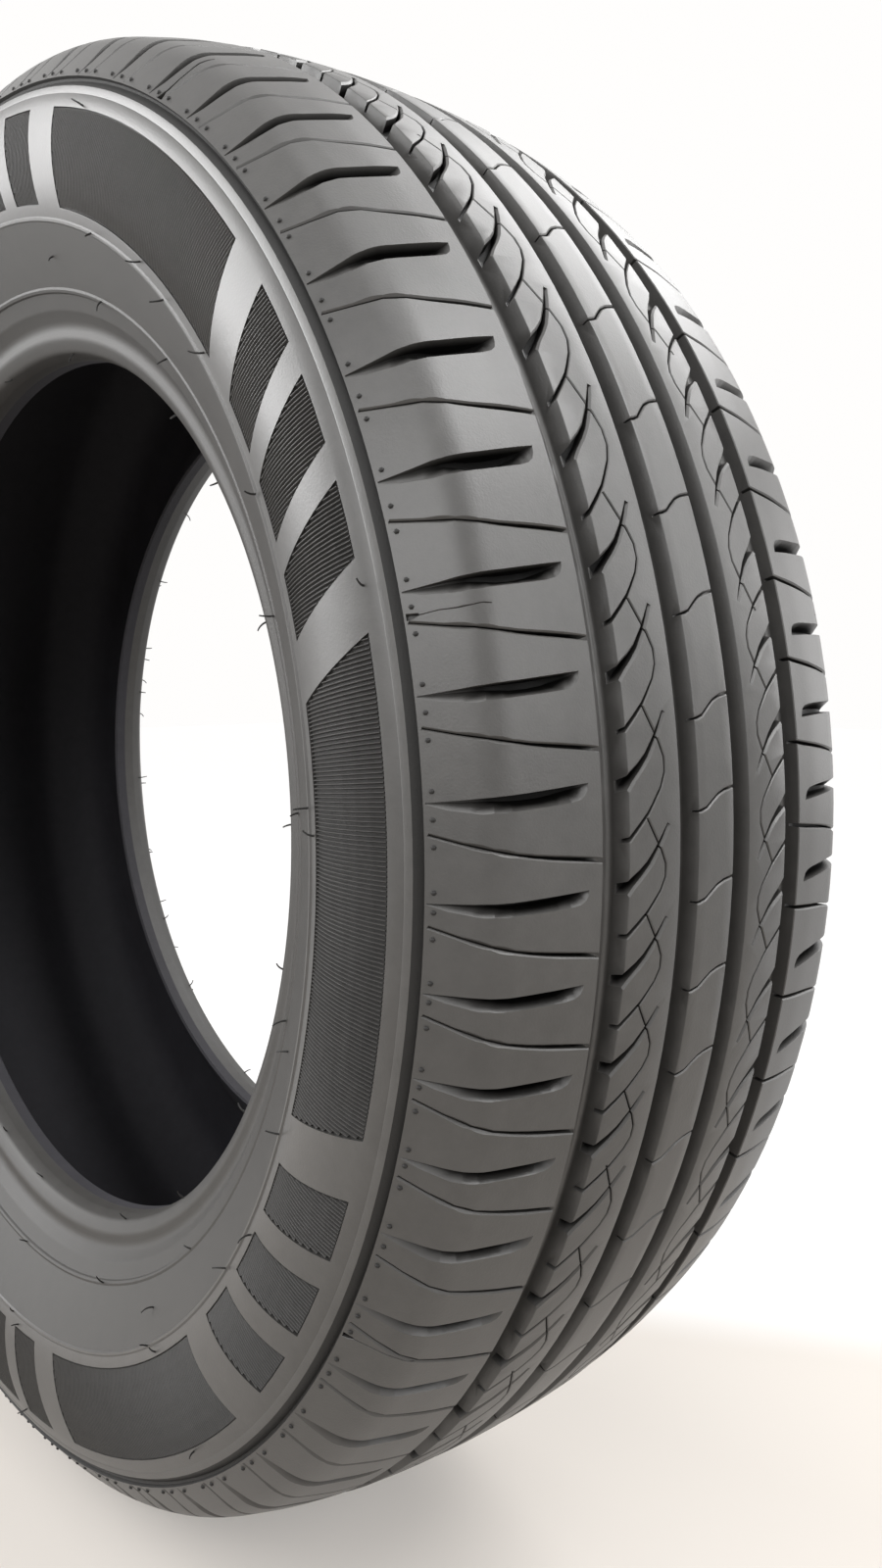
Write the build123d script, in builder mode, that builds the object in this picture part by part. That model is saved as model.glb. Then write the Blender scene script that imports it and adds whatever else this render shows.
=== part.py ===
"""Car tyre of size 195/65 R15, moulded in one piece.

The wheel's centre is the origin, the tyre spins about +Y and +Z is up. Millimetres and degrees.
Angles round the tyre run from +X towards +Z.
"""
import os
from math import radians, sqrt, tan

from build123d import *

# Overall sizes
outer_diameter = 634.5
section_width = 201.0
bead_diameter = 379.0
bead_spread = 148.0  # from heel to heel, as the tyre stands off its rim

# Crown and shoulders
crown_radius = 416.0  # of the arc that the ribs follow across the tread
tread_width = 155.0  # from one shoulder's bend to the other's
tread_edge_drop = 9.6  # the bend lies this far below the crown's middle
pattern_edge_inset = 6.2  # the tread pattern ends this far inside the widest point

# Sidewalls and beads. Shares are of the section's height, above the bead seat
pattern_edge_share = 0.787
widest_share = 0.57
ring_line_share = 0.384
ring_line_inset = 4.0
heel_bevel = 5.0
bead_base = 19.5  # from heel to toe along the axis

# Thickness of the wall
crown_gauge = 14.0  # at the outer grooves
crown_liner_inset = 17.5  # the liner's level middle ends this far inside the shoulder's bend
shoulder_gauge = 8.0
sidewall_gauge = 6.5  # at the ring line

# Ring grooves
middle_rib_width = 16.8
inner_groove_width = 8.6
second_rib_width = 21.0
outer_groove_width = 10.0
groove_depth = 7.2
groove_draft = 8.0  # lean of a groove's walls

# Tread pitches: the pattern's repeats differ in length, so that the tyre doesn't hum
long_pitch = 6.90
medium_pitch = 5.82
short_pitch = 5.08
pitch_run = 4 * [long_pitch] + 3 * [medium_pitch] + 4 * [short_pitch] + 3 * [medium_pitch]
pitch_order = 4 * pitch_run + 5 * [medium_pitch]
near_start = 45.5  # angle of the first pitch on the -Y half of the tread
far_start = 61.1  # and on the +Y half, whose pattern is shifted round

# Shoulder slots: pointed at both ends, with one steep wall and one ramp
slot_gap = 5.0  # from the outer groove to the slot's inner end
slot_tip_gap = 1.5  # from the slot's outer end to the pattern's edge
slot_sweep = 3.6  # the outer end lies this much lower round the tread, on a long pitch
slot_wall_lean = 10.0
slot_ramp_lean = 40.0
slot_place = 0.34  # share of the pitch above the slot's inner end

# Values that follow from the sizes above
outer_radius = outer_diameter / 2
half_width = section_width / 2
bead_radius = bead_diameter / 2
section_height = outer_radius - bead_radius
heel_y = bead_spread / 2
inner_groove_y = (middle_rib_width + inner_groove_width) / 2
second_rib_end = middle_rib_width / 2 + inner_groove_width + second_rib_width
outer_groove_y = second_rib_end + outer_groove_width / 2
outer_groove_end = second_rib_end + outer_groove_width
turn_length = sum(pitch_order)
cutter_height = 3 * groove_depth
cutter_lead = outer_groove_width / 3  # how far a slot's cutter runs past its ends


def crown_height(y):
    """Radius of the crown's arc at a distance y from the middle plane."""
    return outer_radius - crown_radius + sqrt(crown_radius**2 - y**2)


# Corners of the section on the +Y side, each as radius and distance from the middle plane
middle_rib = (outer_radius, inner_groove_y)
second_rib = (crown_height(outer_groove_y), outer_groove_y)
tread_edge = (outer_radius - tread_edge_drop, tread_width / 2)
pattern_edge = (bead_radius + pattern_edge_share * section_height, half_width - pattern_edge_inset)
widest = (bead_radius + widest_share * section_height, half_width)
ring_line = (bead_radius + ring_line_share * section_height, half_width - ring_line_inset)
heel_top = (bead_radius + heel_bevel, heel_y)
heel = (bead_radius, heel_y - heel_bevel)
toe = (bead_radius, heel_y - bead_base)
liner_wall = (ring_line[0], ring_line[1] - sidewall_gauge)
liner_shoulder = (pattern_edge[0] - shoulder_gauge, liner_wall[1])
liner_crown = (second_rib[0] - crown_gauge, tread_edge[1] - crown_liner_inset)
outside = (middle_rib, second_rib, tread_edge, pattern_edge, widest, ring_line, heel_top, heel)
inside = (toe, liner_wall, liner_shoulder, liner_crown)
half_section = [*outside, *inside]


def shoulder_slot(stretch):
    """Cutter of one slot on the -Y shoulder, stretched to its pitch. Its inner end is at angle 0.

    The bottom edge runs straight from the inner end to the outer end, and so dips deepest under the bend.
    """
    inner_y = outer_groove_end + slot_gap
    slope = (tread_edge[0] - second_rib[0]) / (tread_edge[1] - second_rib[1])
    inner_end = Vector(second_rib[0] + slope * (inner_y - second_rib[1]), -inner_y, 0)
    outer_end = Vector(
        pattern_edge[0] + slot_tip_gap, slot_tip_gap - pattern_edge[1], -slot_sweep * stretch
    )
    run = (outer_end - inner_end).normalized()
    wall = cutter_height * tan(radians(slot_wall_lean))
    ramp = cutter_height * tan(radians(slot_ramp_lean))
    across = Plane(origin=inner_end - run * cutter_lead, x_dir=(1, 0, 0), z_dir=run)
    with BuildPart() as cutter:
        with BuildSketch(across):
            with BuildLine():
                Polyline((0, 0), (cutter_height, wall), (cutter_height, -ramp), close=True)
            make_face()
        extrude(amount=(outer_end - inner_end).length + 2 * cutter_lead)
    return cutter.part


def pitch_places(start, share, turn):
    """Pairs of a pitch's length and the place of its slot, round the whole tread."""
    angle = start
    for pitch in pitch_order:
        step = 360 * pitch / turn_length
        yield pitch, Location((0, 0, 0), (0, share * step - angle, 0)) * turn
        angle -= step


near_side = Location()
far_side = Location((0, 0, 0), (180, 0, 0))

with BuildPart() as tyre:
    with BuildSketch() as section:
        with BuildLine():
            other_half = [(radius, -y) for radius, y in reversed(half_section)]
            Polyline(*half_section, *other_half, close=True)
        make_face()
    revolve(axis=Axis.Y)

    # Ring grooves
    with BuildSketch() as grooves:
        lean = groove_depth * tan(radians(groove_draft))
        for y, width in ((inner_groove_y, inner_groove_width), (outer_groove_y, outer_groove_width)):
            for middle in (y, -y):
                with BuildLine():
                    Polyline(
                        (crown_height(y) - groove_depth, middle - width / 2 + lean),
                        (crown_height(y) - groove_depth, middle + width / 2 - lean),
                        (crown_height(y) + groove_depth, middle + width / 2 + lean),
                        (crown_height(y) + groove_depth, middle - width / 2 - lean),
                        close=True,
                    )
                make_face()
    revolve(axis=Axis.Y, mode=Mode.SUBTRACT)

    # Shoulder slots, the far side's turned half round
    cutters = {pitch: shoulder_slot(pitch / long_pitch) for pitch in set(pitch_order)}
    near = pitch_places(near_start, slot_place, near_side)
    far = pitch_places(far_start, 1 - slot_place, far_side)
    add([cutters[pitch].moved(place) for pitch, place in [*near, *far]], mode=Mode.SUBTRACT)

tyre.part.label = "tyre"
os.makedirs("parts", exist_ok=True)
export_step(tyre.part, "parts/tyre.step")
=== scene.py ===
"""Looks of a car tyre: a finely grooved and siped tread, generic serrated sidewall panels and black rubber.

Lengths are millimetres until a mesh is made, and angles are degrees from +X towards +Z round the axle, +Y.
The stage, the lights and the camera are in metres.
"""

import math
import random

import bmesh
import bpy
import numpy as np
from mathutils import Matrix, Vector


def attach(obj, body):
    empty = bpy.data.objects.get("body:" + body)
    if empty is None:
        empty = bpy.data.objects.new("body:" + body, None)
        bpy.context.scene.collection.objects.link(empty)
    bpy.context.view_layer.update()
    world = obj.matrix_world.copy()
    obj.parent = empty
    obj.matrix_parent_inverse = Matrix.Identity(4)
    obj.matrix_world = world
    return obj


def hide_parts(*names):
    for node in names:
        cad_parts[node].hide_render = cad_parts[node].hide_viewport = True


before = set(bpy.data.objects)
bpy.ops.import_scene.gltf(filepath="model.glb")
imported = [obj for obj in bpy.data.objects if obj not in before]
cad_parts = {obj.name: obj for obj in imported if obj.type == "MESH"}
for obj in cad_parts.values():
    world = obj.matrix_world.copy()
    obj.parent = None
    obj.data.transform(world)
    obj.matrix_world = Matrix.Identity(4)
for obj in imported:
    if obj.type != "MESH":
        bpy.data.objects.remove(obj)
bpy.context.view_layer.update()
scene = bpy.context.scene

MM = 0.001
sides = (-1, 1)  # signs of y on the near and the far side

# Fineness of the meshes
fine_segments = 200  # round the tyre's outside
coarse_segments = 100  # round its liner
wall_steps = 12  # along the sidewall's arc
wall_table_steps = 40  # along the same arc, where its width is looked up
normal_reach = 0.6  # a slope is measured this far to each side of a point
cutter_rise = 1.0  # cutters start this far above the skin
tyre_crease = 28  # edges sharper than this angle stay crisp
mark_crease = 50  # the same on the vent stubs and hairs

# Crown and grooves: the part's own sizes, with softened edges
outer_radius = 317.25
crown_arc = 416.0
middle_rib_half = 8.4
second_rib_start = 17.0
second_rib_end = 38.0
shoulder_start = 48.0
groove_depth = 7.2
groove_lean = 1.0
groove_round = 1.6
rib_edge = 0.45  # rounding of a rib's edge

# Shoulder and sidewall. Each point is a radius and a distance from the middle plane
shoulder_fall = (312.0, 60.5)
shoulder_bend = (306.9, 81.0)
pattern_edge = (290.05, 94.3)
edge_notch = ((289.3, 93.1), (288.4, 92.7), (287.3, 94.3))
wall_top = (286.4, 95.5)
wall_widest = (262.3, 100.6)
ring_line = (238.7, 96.6)
fine_line = 283.6  # radius of a fine step in the sidewall
fine_step = ((0.5, -0.22), (0.0, -0.2), (-0.3, 0.03))  # its points, from that radius on the skin
fine_line_gap = 1.0  # the arc has no other points this close to the step
ring_line_gap = 1.2  # or to the ring line
ring_ridge = ((239.6, 96.85), (237.6, 96.3))
lower_wall = (226.0, 90.2)
rim_ridge = ((215.3, 84.2), (213.0, 82.8))
ridge_height = 0.55
ridge_top = (0.3, 0.7)  # shares of the way across where a ridge's top starts and ends
lower_band_end = 236.8  # the sidewall is duller from here down to the bead
bead_radius = 189.5
grey_bead_end = 61.0  # further in, the bead's base is painted as black as the liner: painted shade inside the bore
toe_y = 55.8
liner_toe = (190.6, 54.9)
liner_width = 90.0
liner_radius = 301.0

# Pitches round the tread, as in the part's source
long_pitch = 6.90
medium_pitch = 5.82
short_pitch = 5.08
pitch_run = 4 * [long_pitch] + 3 * [medium_pitch] + 4 * [short_pitch] + 3 * [medium_pitch]
pitch_order = 4 * pitch_run + 5 * [medium_pitch]
turn_length = sum(pitch_order)
near_start = 45.5  # angle of the first pitch on the -Y half
middle_shift = 7.1  # the middle rib's pattern starts this far round from it
far_shift = 15.6  # and the +Y half's this far

# Shoulder slots. A station is y, then the shares of the pitch at the upper edge, the floor's lower side and
# the ramp's lower edge, then the depth
slot_stations = (
    (-52.7, 0.703, 0.700, 0.694, 0.2),
    (-53.0, 0.702, 0.690, 0.640, 0.7),
    (-53.8, 0.700, 0.680, 0.592, 1.5),
    (-55.5, 0.696, 0.664, 0.560, 2.9),
    (-58.5, 0.688, 0.642, 0.540, 4.4),
    (-62.5, 0.677, 0.612, 0.528, 5.6),
    (-67.0, 0.666, 0.592, 0.518, 6.0),
    (-72.0, 0.653, 0.584, 0.507, 5.6),
    (-77.0, 0.642, 0.588, 0.498, 4.5),
    (-81.5, 0.632, 0.594, 0.494, 3.3),
    (-86.0, 0.622, 0.599, 0.500, 2.1),
    (-90.0, 0.613, 0.602, 0.530, 1.2),
    (-93.9, 0.605, 0.602, 0.590, 0.4),
)
slot_wall_lean = 0.0022  # share of the pitch for each millimetre of depth
slot_flare = 0.012  # share of the pitch by which the cutter widens above the upper edge
slot_lip = 0.3
slot_tip = 0.60  # share of the pitch at the outer end

# Shoulder sipes: wide by the groove, then a hairline out to the pattern's edge
sipe_start_y = -48.4
sipe_run = 45.9
sipe_lead = 0.035  # share of the run by which a sipe starts inside the groove
sipe_length = 1.022  # share of the run that it covers
sipe_steps = 8
sipe_rise = 1.157  # degrees round the tread, times the share of the run
sipe_sag = 1.341  # times the share squared
sipe_sweep = 2.020  # times the share cubed
sipe_shares = (0.0, 0.35, 0.6, 1.0)
sipe_halves = (0.62, 0.52, 0.28, 0.12)  # half the sipe's width at those shares
sipe_end = 1.8  # a sipe meets the pattern's edge this many degrees above its pitch's lower end

# Paths of the other cuts, each point as y, share of the pitch and half the cut's width
sickle_path = (
    (-40.5, 0.600, 1.60),
    (-37.0, 0.715, 1.35),
    (-33.0, 0.818, 0.95),
    (-30.0, 0.912, 0.72),
    (-26.5, 1.066, 0.50),
    (-24.0, 1.197, 0.32),
    (-22.0, 1.310, 0.10),
)
loop_path = (
    (-40.0, 0.100, 0.62),
    (-37.5, 0.175, 0.60),
    (-33.8, 0.280, 0.55),
    (-30.3, 0.387, 0.45),
    (-28.0, 0.482, 0.36),
    (-25.0, 0.613, 0.30),
    (-23.2, 0.750, 0.28),
    (-23.2, 0.890, 0.28),
    (-25.0, 1.035, 0.28),
    (-28.0, 1.212, 0.28),
    (-30.9, 1.392, 0.26),
)
middle_path = (
    (-9.0, 1.000, 0.34),
    (-7.0, 1.010, 0.34),
    (-4.5, 1.035, 0.32),
    (-2.0, 1.100, 0.30),
    (1.0, 1.170, 0.30),
    (4.0, 1.210, 0.32),
    (7.0, 1.230, 0.34),
    (9.0, 1.240, 0.34),
)

# Depth of each kind of cut, then of its flared lip
sickle_cut = (5.0, 0.75)
loop_cut = (3.5, 0.35)
sipe_cut = (4.0, 0.5)
middle_cut = (3.0, 0.45)
cut_floor_share = 0.8  # a cut's floor has this share of its width

# Sidewall panels: one long and three short ones in each sector, slanted at their ends
panel_inner = 243.5
panel_outer = 278.5
panel_depth = 0.9
panel_lean = 3.0  # degrees from a panel's inner to its outer edge
panel_sectors = 6
first_panel = 57.0  # angle of the first long panel's middle
long_panel_half = 15.5
short_panel_half = 2.5
short_panel_count = 3
short_panel_start = 22.5  # from a long panel's middle to the next short one's
short_panel_step = 7.5
panel_rows = 5
panel_column = 2.0  # degrees

# Serration: fine ridges across the panels
serration_spacing = 0.29  # degrees
serration_margin = 0.12  # degrees that stay free by a panel's slanted ends
serration_end_gap = 0.5
serration_shortest = 1.5
serration_piece = 6  # a ridge follows the wall's arc in pieces about this long
serration_foot = 0.56  # half a ridge's width at its foot
serration_top = 0.07  # and at its top
serration_sunk = 0.25  # its foot lies this far below the panel's floor
serration_below = 0.04  # and its top this far below the wall's skin

# Vent stubs by the ends of the sipes and slots. Gaps are degrees round the tread
stub_y = -92.7
stub_profile = ((0.4, 0.80), (-0.4, 0.72), (-0.7, 0.38))  # depth and radius
stub_squeeze = 0.7  # share of its radius that a stub has across the tread
stub_sides = 6
stub_above_sipe = 0.8
stub_above_slot = 0.65
stub_below_sipe = 0.7

# Rings that carry vent hairs: radius, y and the surface's slant in radians, then how many stand there
hair_rings = (
    ((279.6, 98.3, -0.28), 7),
    ((242.0, 97.9, 0.4), 11),
    ((238.7, 97.0, 0.5), 17),
    ((226.0, 90.3, 0.5), 5),
    ((214.3, 84.0, 0.5), 15),
    ((190.8, 71.0, 0.75), 19),
)
hair_seed = 15
hair_spread = 0.35  # share of the gap between hairs by which each is moved
hair_bend = (0.3, 1.4)  # radians, least and most
hair_length = (3.2, 5.6)
hair_sunk = 0.4
hair_root = 0.40  # radius at the root
hair_taper = 0.15  # the tip's radius is this much less
hair_steps = 5
hair_sides = 5

# Mould seams down the shoulders, each with a notch at the pattern's edge. One on each side gapes
seam_start = 14.2
seam_count = 8
seam_seed = 65
seam_stations = (77.0, 79.5, 82.0, 85.0, 88.0, 91.0, 93.8)
seam_waver = 0.07  # degrees
seam_half_width = (0.06, 0.14)  # least and most
seam_depth = 0.5
seam_lip = 0.1
notch_path = ((91.6, 0.05, 0.25), (92.8, 0.0, 0.7), (93.9, 0.0, 0.9))  # y, degrees, half width
notch_depth = 1.5
notch_lip = 0.2
gaping_seam = 1
seam_gape = 4.0  # the gaping seam is this much wider and deeper
notch_gape = 1.7  # and so is its notch

# Rubbers: colour, roughness, specular level, scale of the grain and strength of its relief
rubber_looks = {
    "tread_rubber": ((0.0445, 0.0428, 0.0408), 0.40, 0.65, 1300.0, 0.14),
    "wall_rubber": ((0.0488, 0.047, 0.0450), 0.36, 0.65, 1200.0, 0.12),
    # a darker, duller copy of the rubber: painted shade on the panels' floors, in the notch at the
    # pattern's edge, and on the vent stubs and hairs
    "painted_shade_rubber": ((0.016, 0.0155, 0.015), 0.55, 0.30, 1500.0, 0.20),
    "ridge_rubber": ((0.0368, 0.0355, 0.0342), 0.42, 0.55, 1200.0, 0.12),
    "liner_rubber": ((0.024, 0.023, 0.027), 0.65, 0.25, 500.0, 0.25),
    "bead_rubber": ((0.0328, 0.031, 0.0290), 0.50, 0.42, 1600.0, 0.14),
    # a lighter copy of the tread rubber, painting light onto the ring grooves' floors
    "groove_floor_painted_light": ((0.064, 0.0615, 0.059), 0.38, 0.65, 1300.0, 0.10),
}
body_rubbers = (
    "tread_rubber",
    "wall_rubber",
    "painted_shade_rubber",
    "liner_rubber",
    "bead_rubber",
    "groove_floor_painted_light",
)
cloud_noise = (9.0, 6.0, 0.6)  # scale, detail and roughness
mottle_noise = (140.0, 4.0, 0.65)
grain_noise = (3.0, 0.5)  # detail and roughness
mottle_share = 0.45  # of the bloom, the rest being clouds
bloom_tints = ((0.3, 0.72), (0.72, 1.3))  # levels of the bloom, each with its factor on the colour
bloom_gloss = (-0.06, 0.08)  # what the least and the most bloom add to the roughness
grain_height = 0.0004  # metres
painted_shade_start = 0.2  # painted shade: a cut's colour and specular level grow darker from this depth
painted_shade_end = 3.1  # down to this one
painted_shade_share = 0.12  # share of the tread's colour and specular level left at the deepest painted shade

# Limits by which the faces of the tyre are painted
notch_margin = 0.1
notch_outward = -0.95  # the notch's faces look no further inwards than this
tread_margin = 0.6  # the tread's rubber ends this far below the pattern's edge
tread_slack = 1.2  # and this far below the grooves' floors
painted_light_floor_share = 0.85  # of the groove's depth, where the lighter rubber of the painted light on the groove floors starts
liner_inward = -0.3  # faces that look further inwards than this are the liner's
panel_recess = 0.5  # faces that lie this deep in the sidewall are a panel's floor, painted dark as the shade between the ridges
edge_line_foot = 286.6  # the notch at the pattern's edge is painted dark from this radius, as painted shade
edge_line_y = 92.5
mark_margin = 0.5  # cuts aren't marked this close to the pattern's edge
deepest_share = 1.2  # nor deeper than this share of the grooves' depth

# Stage: a floor that turns to white wall beyond a line, and to white far from the tyre
floor_reach = 6.0
floor_roughness = 0.8
floor_specular = 0.1
floor_colour = (0.46, 0.424, 0.385, 1)
floor_glow = (0.30, 0.29, 0.28, 1)
wall_colour = (0.10, 0.10, 0.10, 1)
wall_glow = (0.95, 0.94, 0.93, 1)
wall_direction = (-0.578, 0.816, 0)
wall_distance = 0.143
wall_softness = 0.03
fade_start = 1.1
fade_end = 2.2
sky_colour = (1.0, 0.99, 0.98, 1)
sky_light = 0.12  # strength of the sky where it only lights the tyre, against 1 where it is seen

# Lights: azimuth from +X towards +Y, elevation, distance, size and power
lights = {
    "ceiling": (-30, 68, 1.9, 1.2, 11.0),
    "right_back": (92, 48, 2.0, 1.2, 21.0),
    "right_high": (22, 51, 2.0, 0.8, 20.0),
    "right_front": (8, 20, 2.0, 0.9, 8.5),
    "right_middle": (48, 26, 2.0, 0.9, 7.0),
    "right_low": (78, 8, 2.0, 0.8, 4.0),
    "left_back": (-134, 29, 2.0, 1.2, 38.0),
    "left_low": (-135, 5, 2.0, 0.9, 9.0),
    "front": (-72, 24, 2.0, 1.0, 11.5),
    "camera_side": (-50, 27, 2.0, 0.7, 7.0),
}

# Camera at the photo's place
camera_place = (0.56663, -0.32512, 0.05990)
camera_azimuth = 49.433
camera_elevation = 5.417
camera_lens = 30.257
camera_sensor = 36.0
camera_clip = 0.01


def crown_height(y):
    """Radius of the crown's arc at a distance y from the middle plane."""
    return outer_radius - crown_arc + math.sqrt(crown_arc**2 - y * y)


def rounded(corners):
    """Points along a polyline whose inner corners are rounded.

    An inner corner is (radius, y, rounding, steps), and the two ends are (radius, y).
    """
    points = [Vector(corners[0][:2])]
    for before, corner, after in zip(corners, corners[1:], corners[2:]):
        middle, rounding, steps = Vector(corner[:2]), corner[2], corner[3]
        back = (Vector(before[:2]) - middle).normalized()
        ahead = (Vector(after[:2]) - middle).normalized()
        if not rounding:
            points.append(middle)
            continue
        half = back.angle(ahead) / 2
        reach = rounding / math.tan(half)
        centre = middle + (back + ahead).normalized() * rounding / math.sin(half)
        start = middle + back * reach - centre
        end = middle + ahead * reach - centre
        for step in range(steps + 1):
            points.append(centre + start.slerp(end, step / steps) * start.length)
    points.append(Vector(corners[-1][:2]))
    return [(point[0], point[1]) for point in points]


def arc_through(first, middle, last, steps):
    """Points on the circle through three points, from first to last."""
    a, b, c = Vector(first), Vector(middle), Vector(last)
    divisor = 2 * (a.x * (b.y - c.y) + b.x * (c.y - a.y) + c.x * (a.y - b.y))
    squares = [v.x**2 + v.y**2 for v in (a, b, c)]
    centre = Vector(
        (
            (squares[0] * (b.y - c.y) + squares[1] * (c.y - a.y) + squares[2] * (a.y - b.y)) / divisor,
            (squares[0] * (c.x - b.x) + squares[1] * (a.x - c.x) + squares[2] * (b.x - a.x)) / divisor,
        )
    )
    points = []
    for step in range(steps + 1):
        spoke = (a - centre).slerp(c - centre, step / steps)
        points.append(tuple(centre + spoke * (a - centre).length))
    return points


# Shoulder: nearly flat, then a round bend and a steep slope down to the pattern's edge
outer_groove_middle = (second_rib_end + shoulder_start) / 2
shoulder = rounded(
    [
        (crown_height(outer_groove_middle), outer_groove_middle),
        (*shoulder_fall, 110, 3),
        (*shoulder_bend, 20, 6),
        pattern_edge,
    ]
)
crown = [(crown_height(y), y) for y in range(int(outer_groove_middle))]
surface_r, surface_y = zip(*crown, *shoulder)


def tread_radius(y):
    """Radius of the tread's skin, grooves apart."""
    return float(np.interp(abs(y), surface_y, surface_r))


def tread_fall(y):
    """How steeply the tread's skin falls away from the middle plane."""
    across = abs(y)
    return (tread_radius(across - normal_reach) - tread_radius(across + normal_reach)) / (2 * normal_reach)


def tread_point(y, angle, depth):
    """A point below the tread's skin, or above it where depth is negative."""
    fall = tread_fall(y)
    length = math.hypot(1, fall)
    radius = tread_radius(y) - depth / length
    across = y - math.copysign(1, y) * depth * fall / length
    turn = math.radians(angle)
    return Vector((radius * math.cos(turn), across, radius * math.sin(turn)))


def in_ring_groove(y):
    """True across the tread's four ring grooves."""
    across = abs(y)
    return middle_rib_half < across < second_rib_start or second_rib_end < across < shoulder_start


# Sidewall: an arc from the pattern's edge over the widest point to the ring line
wall_arc = arc_through(wall_top, wall_widest, ring_line, wall_table_steps)
wall_r, wall_y = zip(*reversed(wall_arc))


def wall_width(radius):
    """Distance of the sidewall's skin from the middle plane."""
    return float(np.interp(radius, wall_r, wall_y))


def wall_point(radius, angle, depth, side):
    """A point below the sidewall's skin, between the ring line and the pattern's edge."""
    slope = (wall_width(radius + normal_reach) - wall_width(radius - normal_reach)) / (2 * normal_reach)
    length = math.hypot(1, slope)
    r = radius + depth * slope / length
    y = wall_width(radius) - depth / length
    turn = math.radians(angle)
    return Vector((r * math.cos(turn), side * y, r * math.sin(turn)))


def groove(start, end):
    """Points across a ring groove, with softened edges and floor corners."""
    level = crown_height((start + end) / 2) - groove_depth
    corners = [
        (crown_height(start - rib_edge), start - rib_edge),
        (crown_height(start), start, rib_edge, 2),
        (level, start + groove_lean, groove_round, 3),
        (level, end - groove_lean, groove_round, 3),
        (crown_height(end), end, rib_edge, 2),
        (tread_radius(end + rib_edge), end + rib_edge),
    ]
    return rounded(corners)[1:-1]


def low_ridge(before, after):
    """Points of a low ridge between two points of the sidewall."""
    a, b = Vector(before), Vector(after)
    out = Vector((b.y - a.y, a.x - b.x)).normalized() * ridge_height
    top = [tuple(a.lerp(b, share) + out) for share in ridge_top]
    return [tuple(a), *top, tuple(b)]


def sidewall():
    """Points from the pattern's edge down to the ring line, with a fine step near the top."""
    arc = arc_through(wall_top, wall_widest, ring_line, wall_steps)
    y = wall_width(fine_line)
    step = [(fine_line + rise, y + out) for rise, out in fine_step]
    lowest, highest = ring_line[0] + ring_line_gap, fine_line - fine_line_gap
    below = [point for point in arc if lowest < point[0] < highest]
    return [arc[0], *step, *below]


def bead():
    """Points from the rim's ridge round the bead's roll and heel to the toe."""
    return rounded(
        [
            (211.5, 81.9),
            (207.0, 79.6, 5, 3),
            (201.8, 74.6, 5, 3),
            (196.5, 75.0, 4, 3),
            (191.3, 71.8, 4, 3),
            (bead_radius, 66.3, 3, 2),
            (bead_radius, grey_bead_end, 0, 1),
            (bead_radius, toe_y),
        ]
    )


def outer_half():
    """Points (radius, y) of half the section's outside, from the crown's middle round to the toe."""
    second_rib_middle = (second_rib_start + second_rib_end) / 2
    points = [(crown_height(y), y) for y in (0.0, middle_rib_half / 2)]
    points += groove(middle_rib_half, second_rib_start)
    points.append((crown_height(second_rib_middle), second_rib_middle))
    points += groove(second_rib_end, shoulder_start)
    points += [(r, y) for r, y in shoulder if y > shoulder_start + rib_edge]
    points += edge_notch
    points += sidewall()
    points += low_ridge(*ring_ridge)
    points.append(lower_wall)
    points += low_ridge(*rim_ridge)
    points += bead()
    return points


def liner_half():
    """Points of half the section's inside, from the toe to the middle."""
    return rounded(
        [
            liner_toe,
            (238.6, liner_width, 40, 4),
            (281.0, liner_width, 24, 4),
            (liner_radius, 60.0, 24, 4),
            (liner_radius, 0.0),
        ]
    )


def band(first, count, second, other):
    """Faces between two rings of points, where one ring may have half as many points as the other."""
    faces = []
    if count == other:
        for n in range(count):
            m = (n + 1) % count
            faces.append((first + n, first + m, second + m, second + n))
        return faces
    flip = count < other
    many, few = (second, first) if flip else (first, second)
    half_count = min(count, other)
    for n in range(half_count):
        m = (n + 1) % half_count
        a, b, c = many + 2 * n, many + 2 * n + 1, many + 2 * m
        faces += [(a, b, few + n), (b, few + m, few + n), (b, c, few + m)]
    return [face[::-1] for face in faces] if flip else faces


def turned_body():
    """The tyre as a closed mesh turned from its section, with no slots yet."""
    outer, liner = outer_half(), liner_half()
    half = outer + liner
    counts = [fine_segments] * len(outer) + [coarse_segments] * len(liner)
    section = half + [(r, -y) for r, y in reversed(half[1:-1])]
    counts += list(reversed(counts[1:-1]))
    vertices = []
    rings = []
    for (radius, y), count in zip(section, counts):
        rings.append((len(vertices), count))
        for n in range(count):
            turn = math.tau * n / count
            vertices.append((radius * math.cos(turn), y, radius * math.sin(turn)))
    faces = []
    for ring, following in zip(rings, rings[1:] + rings[:1]):
        faces += band(*ring, *following)
    return vertices, faces


def add_object(name, data):
    """A new object in the scene."""
    obj = bpy.data.objects.new(name, data)
    scene.collection.objects.link(obj)
    return obj


def solid_mesh(name, vertices, faces):
    """A mesh in metres with its faces turned outwards."""
    mesh = bpy.data.meshes.new(name)
    mesh.from_pydata([tuple(Vector(v) * MM) for v in vertices], [], faces)
    shape = bmesh.new()
    shape.from_mesh(mesh)
    bmesh.ops.recalc_face_normals(shape, faces=shape.faces)
    shape.to_mesh(mesh)
    shape.free()
    return mesh


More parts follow.
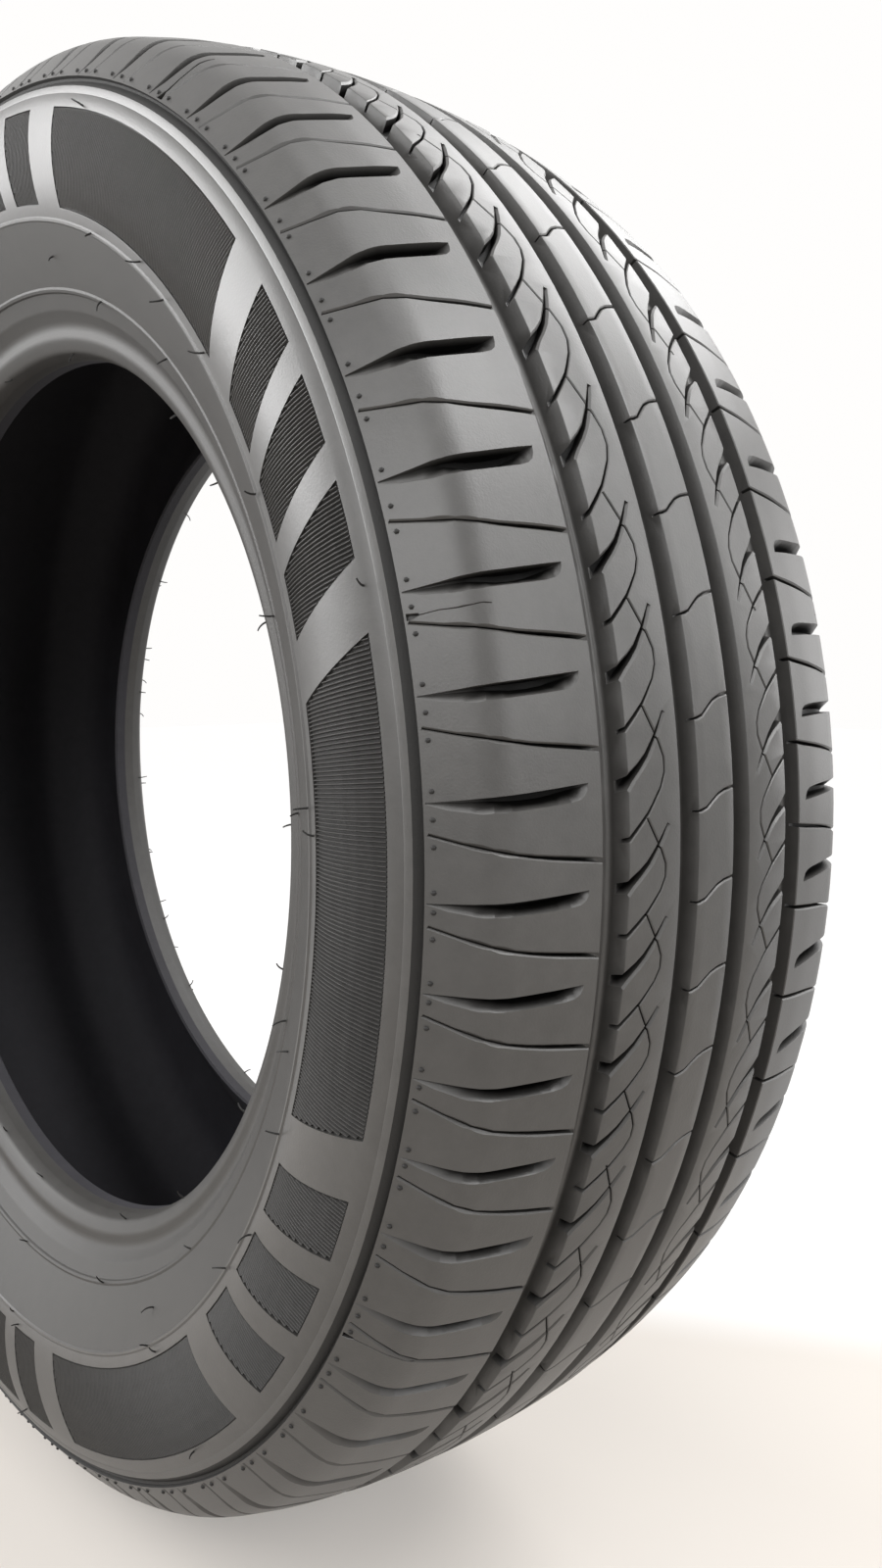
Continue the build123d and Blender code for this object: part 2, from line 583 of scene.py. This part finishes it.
class Solids:
    """Collects closed lofts, to be joined in one mesh."""

    def __init__(self):
        self.vertices = []
        self.faces = []

    def loft(self, sections):
        """Adds a closed solid through sections of equal numbers of points."""
        base = len(self.vertices)
        count = len(sections[0])
        for section in sections:
            self.vertices += section
        for row in range(len(sections) - 1):
            low = base + row * count
            self.faces += band(low, count, low + count, count)
        last = base + (len(sections) - 1) * count
        for k in range((count - 1) // 2):
            corners = dict.fromkeys((k, k + 1, count - 2 - k, count - 1 - k))
            self.faces.append(tuple(last + n for n in corners))
            self.faces.append(tuple(base + n for n in reversed(corners)))

    def make(self, name):
        """The joined mesh as an object."""
        return add_object(name, solid_mesh(name, self.vertices, self.faces))


def pitches(shift):
    """Pairs of a pitch's lower angle and its length in degrees, round the whole tread."""
    angle = near_start + shift
    for pitch in pitch_order:
        step = 360 * pitch / turn_length
        angle -= step
        yield angle, step


def near_place(lower, step):
    """Maps a tile's (y, share of the pitch) to (y, angle) on the -Y half."""
    return lambda y, share: (y, lower + share * step)


def far_place(lower, step):
    """The same on the +Y half, where the tile is turned half round."""
    return lambda y, share: (-y, lower + (1 - share) * step)


tread_halves = ((near_place, 0.0), (far_place, far_shift))


def sipe_sections(path, place, depth, lip):
    """Sections of a thin cut along a path of (y, share, half width), with flared lips."""
    spots = [(*place(y, share), half) for y, share, half in path]
    start = spots[0][1]
    flat = [Vector((y, math.radians(angle - start) * tread_radius(y))) for y, angle, _ in spots]
    flare = lip + cutter_rise
    sections = []
    for n, (y, _, half) in enumerate(spots):
        along = flat[min(n + 1, len(flat) - 1)] - flat[max(n - 1, 0)]
        normal = Vector((-along.y, along.x)).normalized()
        floor = cut_floor_share * half
        outline = (
            (-half - flare, -cutter_rise),
            (-half, lip),
            (-floor, depth),
            (floor, depth),
            (half, lip),
            (half + flare, -cutter_rise),
        )
        section = []
        for offset, level in outline:
            shifted = flat[n] + normal * offset
            turn = math.degrees(shifted.y / tread_radius(y))
            section.append(tread_point(shifted.x, start + turn, level))
        sections.append(section)
    return sections


def slot_sections(place):
    """Sections of a shoulder slot: a steep wall above and a ramp below, pointed at both ends."""
    sections = []
    for y, upper, floor, lower, depth in slot_stations:
        lean = depth * slot_wall_lean
        ramp = (floor - lower) / depth
        outline = (
            (upper + slot_flare, -cutter_rise),
            (upper, slot_lip),
            (upper - lean, depth),
            (min(floor, upper - 2 * lean), depth),
            (lower, 0.0),
            (lower - ramp, -cutter_rise),
        )
        sections.append([tread_point(*place(y, share), level) for share, level in outline])
    return sections


def shoulder_sipe(step):
    """Path of a shoulder sipe on a pitch of step degrees."""
    path = []
    for n in range(sipe_steps + 1):
        t = -sipe_lead + sipe_length * n / sipe_steps
        bow = sipe_rise * t - sipe_sag * t * t + sipe_sweep * t**3
        half = float(np.interp(t, sipe_shares, sipe_halves))
        path.append((sipe_start_y - sipe_run * t, bow / step, half))
    return path


def tread_cutters():
    """Cutters of the tread in groups whose members don't meet, each group one mesh.

    Neighbouring loops cross, so they take turns in two groups, and the last pitch's is in a third.
    """
    slots, sipes, sickles, middles = Solids(), Solids(), Solids(), Solids()
    loops = (Solids(), Solids(), Solids())
    for half_place, shift in tread_halves:
        for n, (lower, step) in enumerate(pitches(shift)):
            place = half_place(lower, step)
            slots.loft(slot_sections(place))
            sickles.loft(sipe_sections(sickle_path, place, *sickle_cut))
            last = n == len(pitch_order) - 1
            loops[2 if last else n % 2].loft(sipe_sections(loop_path, place, *loop_cut))
            sipes.loft(sipe_sections(shoulder_sipe(step), place, *sipe_cut))
    for lower, step in pitches(middle_shift):
        middles.loft(sipe_sections(middle_path, near_place(lower - step, step), *middle_cut))
    return slots, sipes, sickles, middles, *loops


def panels():
    """Middle angle and half length of each panel of a sidewall."""
    sector = 360 / panel_sectors
    for n in range(panel_sectors):
        start = first_panel + n * sector
        yield start, long_panel_half
        for k in range(short_panel_count):
            yield start + short_panel_start + short_panel_step * k, short_panel_half


def panel_cutters(side):
    """Shallow recesses in a sidewall, one for each panel."""
    cutters = Solids()
    height = panel_outer - panel_inner
    radii = [panel_inner + height * n / panel_rows for n in range(panel_rows + 1)]
    for middle, half in panels():
        columns = max(2, round(2 * half / panel_column))
        sections = []
        for column in range(columns + 1):
            floor, roof = [], []
            for radius in radii:
                tilt = panel_lean * ((radius - panel_inner) / height - 0.5)
                low, high = middle + tilt - half, middle + tilt + half
                angle = low + (high - low) * column / columns
                floor.append(wall_point(radius, angle, panel_depth, side))
                roof.append(wall_point(radius, angle, -cutter_rise, side))
            sections.append(floor + roof[::-1])
        cutters.loft(sections)
    return cutters


def serration_sections(start, end, angle, side):
    """Sections of one ridge along a radius, from a start to an end."""
    sections = []
    pieces = max(1, round((end - start) / serration_piece))
    for n in range(pieces + 1):
        radius = start + (end - start) * n / pieces
        foot = math.degrees(serration_foot / radius)
        top = math.degrees(serration_top / radius)
        sections.append(
            [
                wall_point(radius, angle - foot, panel_depth + serration_sunk, side),
                wall_point(radius, angle - top, serration_below, side),
                wall_point(radius, angle + top, serration_below, side),
                wall_point(radius, angle + foot, panel_depth + serration_sunk, side),
            ]
        )
    return sections


def serration(side):
    """Fine ridges across the panels of a sidewall, cut short by the panels' slanted ends."""
    ridges = Solids()
    longest = panel_outer - panel_inner - 2 * serration_end_gap
    for middle, half in panels():
        count = int(2 * (half + panel_lean / 2) / serration_spacing)
        for n in range(count + 1):
            angle = middle + (n - count / 2) * serration_spacing
            lowest = angle - middle - half + serration_margin
            highest = angle - middle + half - serration_margin
            ends = []
            for limit in (lowest, highest):
                share = min(max(limit / panel_lean + 0.5, 0.0), 1.0)
                ends.append(panel_inner + serration_end_gap + longest * share)
            if ends[1] - ends[0] >= serration_shortest:
                ridges.loft(serration_sections(*ends, angle, side))
    return ridges


def stub_sections(y, angle):
    """Sections of one vent stub."""
    sections = []
    for depth, radius in stub_profile:
        section = []
        for n in range(stub_sides):
            turn = math.tau * n / stub_sides
            across = stub_squeeze * radius * math.cos(turn)
            around = math.degrees(radius * math.sin(turn) / tread_radius(y))
            section.append(tread_point(y + across, angle + around, depth))
        sections.append(section)
    return sections


def vent_stubs():
    """Short stubs by the ends of the sipes and slots, where air left the mould."""
    stubs = Solids()
    for half_place, shift in tread_halves:
        for lower, step in pitches(shift):
            place = half_place(lower, step)
            shares = (
                (sipe_end + stub_above_sipe) / step,
                slot_tip + stub_above_slot / step,
                1 + (sipe_end - stub_below_sipe) / step,
            )
            for share in shares:
                stubs.loft(stub_sections(*place(stub_y, share)))
    return stubs


def hair_sections(spot, angle, side, draw):
    """Sections of a thin bent hair on a spot, given as radius, y and the slant of its surface."""
    radius, y, slant = spot
    turn = math.radians(angle)
    radial = Vector((math.cos(turn), 0, math.sin(turn)))
    around = Vector((-math.sin(turn), 0, math.cos(turn)))
    out = Vector((0, side, 0)) * math.cos(slant) - radial * math.sin(slant)
    twist = draw.uniform(0, math.tau)
    aside = (around * math.cos(twist) + radial * math.sin(twist)).normalized()
    aside = (aside - out * aside.dot(out)).normalized()
    across = out.cross(aside)
    bend = draw.uniform(*hair_bend)
    length = draw.uniform(*hair_length)
    foot = radial * radius + Vector((0, side * y, 0)) - out * hair_sunk
    sections = []
    for n in range(hair_steps + 1):
        lean = bend * n / hair_steps
        middle = foot + (out * math.sin(lean) + aside * (1 - math.cos(lean))) * length / bend
        level = aside * math.cos(lean) - out * math.sin(lean)
        thick = hair_root - hair_taper * n / hair_steps
        section = []
        for corner in range(hair_sides):
            spin = math.tau * corner / hair_sides
            section.append(middle + (level * math.cos(spin) + across * math.sin(spin)) * thick)
        sections.append(section)
    return sections


def vent_hairs():
    """Hairs round both sidewalls, unevenly spaced."""
    draw = random.Random(hair_seed)
    hairs = Solids()
    for side in sides:
        for spot, count in hair_rings:
            for n in range(count):
                angle = 360 * (n + draw.uniform(-hair_spread, hair_spread)) / count
                hairs.loft(hair_sections(spot, angle, side, draw))
    return hairs


def seam_place(side, angle):
    """Maps (y, degrees from the seam) to (y, angle) on a side of the tyre."""
    return lambda y, shift: (side * y, angle + shift)


def mould_seams():
    """Fine uneven lines down the shoulders, each with a notch at the pattern's edge."""
    draw = random.Random(seam_seed)
    lines, notches = Solids(), Solids()
    for side in sides:
        for n in range(seam_count):
            place = seam_place(side, seam_start + 360 * n / seam_count)
            gape, wide = (seam_gape, notch_gape) if n == gaping_seam else (1.0, 1.0)
            path = []
            for y in seam_stations:
                shift = draw.uniform(-seam_waver, seam_waver)
                path.append((y, shift, gape * draw.uniform(*seam_half_width)))
            lines.loft(sipe_sections(path, place, seam_depth * gape, seam_lip))
            tip = [(y, shift, half * wide) for y, shift, half in notch_path]
            notches.loft(sipe_sections(tip, place, notch_depth * wide, notch_lip))
    return lines, notches


def cut(body, cutter):
    """Takes a cutter out of a body, and removes the cutter."""
    change = body.modifiers.new("cut", "BOOLEAN")
    change.operation = "DIFFERENCE"
    change.solver = "MANIFOLD"
    change.object = cutter
    shaped = body.evaluated_get(bpy.context.evaluated_depsgraph_get())
    mesh = bpy.data.meshes.new_from_object(shaped)
    body.modifiers.clear()
    used = (body.data, cutter.data)
    body.data = mesh
    bpy.data.objects.remove(cutter)
    for old in used:
        bpy.data.meshes.remove(old)


def shade(obj, angle):
    """Smooth shading, with edges sharper than an angle kept crisp."""
    for face in obj.data.polygons:
        face.use_smooth = True
    obj.data.set_sharp_from_angle(angle=math.radians(angle))


def noise(tree, place, scale, detail, roughness):
    """A noise texture over the object's own coordinates."""
    node = tree.nodes.new("ShaderNodeTexNoise")
    node.inputs["Scale"].default_value = scale
    node.inputs["Detail"].default_value = detail
    node.inputs["Roughness"].default_value = roughness
    tree.links.new(place.outputs["Object"], node.inputs["Vector"])
    return node.outputs["Fac"]


def rubber(name, colour, roughness, specular, grain, bump):
    """Black rubber with a faint bloom, uneven gloss and a fine grain."""
    material = bpy.data.materials.new(name)
    material.use_nodes = True
    tree = material.node_tree
    shader = tree.nodes["Principled BSDF"]
    shader.inputs["Specular IOR Level"].default_value = specular
    place = tree.nodes.new("ShaderNodeTexCoord")
    bloom = tree.nodes.new("ShaderNodeMix")
    bloom.inputs["Factor"].default_value = mottle_share
    tree.links.new(noise(tree, place, *cloud_noise), bloom.inputs["A"])
    tree.links.new(noise(tree, place, *mottle_noise), bloom.inputs["B"])
    tint = tree.nodes.new("ShaderNodeValToRGB")
    for element, (level, factor) in zip(tint.color_ramp.elements, bloom_tints):
        element.position = level
        element.color = (*[c * factor for c in colour], 1)
    tree.links.new(bloom.outputs["Result"], tint.inputs["Fac"])
    tree.links.new(tint.outputs["Color"], shader.inputs["Base Color"])
    gloss = tree.nodes.new("ShaderNodeMapRange")
    gloss.inputs["To Min"].default_value = roughness + bloom_gloss[0]
    gloss.inputs["To Max"].default_value = roughness + bloom_gloss[1]
    tree.links.new(bloom.outputs["Result"], gloss.inputs["Value"])
    tree.links.new(gloss.outputs["Result"], shader.inputs["Roughness"])
    relief = tree.nodes.new("ShaderNodeBump")
    relief.inputs["Strength"].default_value = bump
    relief.inputs["Distance"].default_value = grain_height
    tree.links.new(noise(tree, place, grain, *grain_noise), relief.inputs["Height"])
    tree.links.new(relief.outputs["Normal"], shader.inputs["Normal"])
    return material


def paint_shade_in_cuts(material):
    """Paints shade into a rubber down in its cuts: darker colour and a weaker specular level, by the depth
    that its mesh stores.
    """
    nodes, links = material.node_tree.nodes, material.node_tree.links
    shader = nodes["Principled BSDF"]
    tint = shader.inputs["Base Color"].links[0].from_socket
    depth = nodes.new("ShaderNodeAttribute")
    depth.attribute_name = "cut_depth"
    light = nodes.new("ShaderNodeMapRange")
    light.inputs["From Min"].default_value = painted_shade_start
    light.inputs["From Max"].default_value = painted_shade_end
    light.inputs["To Min"].default_value = 1.0
    light.inputs["To Max"].default_value = painted_shade_share
    links.new(depth.outputs["Fac"], light.inputs["Value"])
    deep = nodes.new("ShaderNodeVectorMath")
    deep.operation = "SCALE"
    links.new(tint, deep.inputs[0])
    links.new(light.outputs["Result"], deep.inputs["Scale"])
    links.new(deep.outputs["Vector"], shader.inputs["Base Color"])
    sheen = nodes.new("ShaderNodeMath")
    sheen.operation = "MULTIPLY"
    sheen.inputs[1].default_value = shader.inputs["Specular IOR Level"].default_value
    links.new(light.outputs["Result"], sheen.inputs[0])
    links.new(sheen.outputs["Value"], shader.inputs["Specular IOR Level"])


rubbers = {name: rubber(name, *look) for name, look in rubber_looks.items()}
# painted shade: the tread is darker and less glossy down in its slots and sipes
paint_shade_in_cuts(rubbers["tread_rubber"])


def mark_cuts(obj):
    """Stores how deep each point lies in a slot or sipe, in millimetres, for the shade painted in the cuts.
    Ring grooves don't count.
    """
    values = []
    for vertex in obj.data.vertices:
        x, y, z = vertex.co / MM
        below = (tread_radius(y) - math.hypot(x, z)) / math.hypot(1, tread_fall(y))
        beside = in_ring_groove(y) or abs(y) > pattern_edge[1] - mark_margin
        if beside or below > deepest_share * groove_depth:
            below = 0.0
        values.append(max(below, 0.0))
    marks = obj.data.attributes.new("cut_depth", "FLOAT", "POINT")
    marks.data.foreach_set("value", values)


def rubber_at(place, normal):
    """Name of the rubber on a face of the tyre, by where it lies and which way it looks. Darker rubbers
    paint shade into the notch, the panels' floors and the bead's inner base, and a lighter one paints light
    on the groove floors.
    """
    x, y, z = place
    radius, across = math.hypot(x, z), abs(y)
    below = tread_radius(y) - radius
    out = normal.y * math.copysign(1, y)
    up = normal.x * x + normal.z * z
    # painted shade: the notch at the pattern's edge takes the dark rubber
    in_notch = edge_line_foot < radius < pattern_edge[0] - notch_margin and across > edge_line_y
    if in_notch and out > notch_outward:
        return "painted_shade_rubber"
    if radius > pattern_edge[0] - tread_margin and below < groove_depth + tread_slack:
        # the ring grooves' floors take the lighter rubber: painted light
        on_floor = below > painted_light_floor_share * groove_depth and in_ring_groove(y)
        return "groove_floor_painted_light" if on_floor else "tread_rubber"
    # faces looking inwards are the liner; the bead's base facing the axle is painted with the liner's
    # black, as painted shade inside the bore
    if out < liner_inward or (up < 0 and across < grey_bead_end):
        return "liner_rubber"
    # panel floors are painted dark: painted shade between the serration's ridges
    if panel_inner < radius < panel_outer and across < wall_width(radius) - panel_recess:
        return "painted_shade_rubber"
    return "bead_rubber" if radius < lower_band_end else "wall_rubber"


def paint(obj):
    """Gives each face of the tyre its rubber."""
    obj.data.materials.clear()
    for name in body_rubbers:
        obj.data.materials.append(rubbers[name])
    for face in obj.data.polygons:
        face.material_index = body_rubbers.index(rubber_at(face.center / MM, face.normal))


def finish_piece(obj):
    """Ties a piece to the tyre's body."""
    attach(obj, "root")


# Tyre
tyre = add_object("tyre_body", solid_mesh("tyre_body", *turned_body()))
for n, group in enumerate([*tread_cutters(), *mould_seams()]):
    cut(tyre, group.make(f"cutter_{n}"))
for side in sides:
    cut(tyre, panel_cutters(side).make("cutter_panel"))
shade(tyre, tyre_crease)
mark_cuts(tyre)
paint(tyre)
finish_piece(tyre)
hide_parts("tyre")

for side, name in zip(sides, ("serration_near", "serration_far")):
    ridges = serration(side).make(name)
    ridges.data.materials.append(rubbers["ridge_rubber"])
    finish_piece(ridges)

# painted shade: the vent stubs and hairs take the darker, duller rubber instead of the tread's
for marks, name in ((vent_stubs(), "vent_stubs"), (vent_hairs(), "vent_hairs")):
    piece = marks.make(name)
    piece.data.materials.append(rubbers["painted_shade_rubber"])
    shade(piece, mark_crease)
    finish_piece(piece)


def greater(tree, first, second):
    """The greater of two values."""
    node = tree.nodes.new("ShaderNodeMath")
    node.operation = "MAXIMUM"
    tree.links.new(first, node.inputs[0])
    tree.links.new(second, node.inputs[1])
    return node.outputs["Value"]


def seen_rays(tree):
    """A value that is 1 for rays that show a surface, and 0 for rays that only light others."""
    path = tree.nodes.new("ShaderNodeLightPath")
    direct = greater(tree, path.outputs["Is Camera Ray"], path.outputs["Is Glossy Ray"])
    return greater(tree, direct, path.outputs["Is Transmission Ray"])


def pale_floor():
    """Warm pale floor that takes the tyre's shadow, and turns to white beyond a line and far away."""
    material = bpy.data.materials.new("pale_floor")
    material.use_nodes = True
    tree = material.node_tree
    shader = tree.nodes["Principled BSDF"]
    shader.inputs["Roughness"].default_value = floor_roughness
    shader.inputs["Specular IOR Level"].default_value = floor_specular
    place = tree.nodes.new("ShaderNodeTexCoord")
    away = tree.nodes.new("ShaderNodeVectorMath")
    away.operation = "DOT_PRODUCT"
    away.inputs[1].default_value = wall_direction
    tree.links.new(place.outputs["Object"], away.inputs[0])
    beyond = tree.nodes.new("ShaderNodeMapRange")
    beyond.interpolation_type = "SMOOTHSTEP"
    beyond.inputs["From Min"].default_value = wall_distance - wall_softness
    beyond.inputs["From Max"].default_value = wall_distance + wall_softness
    tree.links.new(away.outputs["Value"], beyond.inputs["Value"])
    distance = tree.nodes.new("ShaderNodeVectorMath")
    distance.operation = "LENGTH"
    tree.links.new(place.outputs["Object"], distance.inputs[0])
    fade = tree.nodes.new("ShaderNodeMapRange")
    fade.inputs["From Min"].default_value = fade_start
    fade.inputs["From Max"].default_value = fade_end
    tree.links.new(distance.outputs["Value"], fade.inputs["Value"])
    whiter = greater(tree, beyond.outputs["Result"], fade.outputs["Result"])
    looks = (("Base Color", floor_colour, wall_colour), ("Emission Color", floor_glow, wall_glow))
    for socket, floor_look, wall_look in looks:
        blend = tree.nodes.new("ShaderNodeMix")
        blend.data_type = "RGBA"
        blend.inputs["A"].default_value = floor_look
        blend.inputs["B"].default_value = wall_look
        tree.links.new(whiter, blend.inputs["Factor"])
        tree.links.new(blend.outputs["Result"], shader.inputs[socket])
    tree.links.new(seen_rays(tree), shader.inputs["Emission Strength"])
    return material


def studio_world():
    """A white surround, much weaker where it only lights the tyre."""
    world = bpy.data.worlds.new("studio")
    world.use_nodes = True
    tree = world.node_tree
    sky = tree.nodes["Background"]
    sky.inputs["Color"].default_value = sky_colour
    strength = tree.nodes.new("ShaderNodeMapRange")
    strength.inputs["To Min"].default_value = sky_light
    strength.inputs["To Max"].default_value = 1.0
    tree.links.new(seen_rays(tree), strength.inputs["Value"])
    tree.links.new(strength.outputs["Result"], sky.inputs["Strength"])
    return world


def soft_light(name, azimuth, elevation, distance, size, power):
    """A square light aimed at the tyre."""
    turn, lift = math.radians(azimuth), math.radians(elevation)
    place = Vector((math.cos(turn) * math.cos(lift), math.sin(turn) * math.cos(lift), math.sin(lift)))
    data = bpy.data.lights.new(name, "AREA")
    data.size = size
    data.energy = power
    light = add_object(name, data)
    light.location = place * distance
    light.rotation_euler = (-place).to_track_quat("-Z", "Y").to_euler()


def photo_camera():
    """The camera, level from side to side."""
    data = bpy.data.cameras.new("camera")
    data.sensor_width = camera_sensor
    data.lens = camera_lens
    data.clip_start = camera_clip
    azimuth, elevation = math.radians(camera_azimuth), math.radians(camera_elevation)
    right = Vector((math.cos(azimuth), math.sin(azimuth), 0))
    back = Vector((math.sin(azimuth), -math.cos(azimuth), 0)) * math.cos(elevation)
    back.z = math.sin(elevation)
    turn = Matrix((right, back.cross(right), back)).transposed().to_4x4()
    camera = add_object("camera", data)
    camera.matrix_world = Matrix.Translation(camera_place) @ turn
    return camera


# Stage
floor_level = -outer_radius * MM
floor_signs = ((-1, -1), (1, -1), (1, 1), (-1, 1))
floor_corners = [(x * floor_reach, y * floor_reach, floor_level) for x, y in floor_signs]
floor_mesh = bpy.data.meshes.new("floor")
floor_mesh.from_pydata(floor_corners, [], [(0, 1, 2, 3)])
floor_mesh.materials.append(pale_floor())
floor = add_object("floor", floor_mesh)
scene.world = studio_world()
for name, light in lights.items():
    soft_light(name, *light)
scene.camera = photo_camera()
scene.view_settings.view_transform = "Standard"
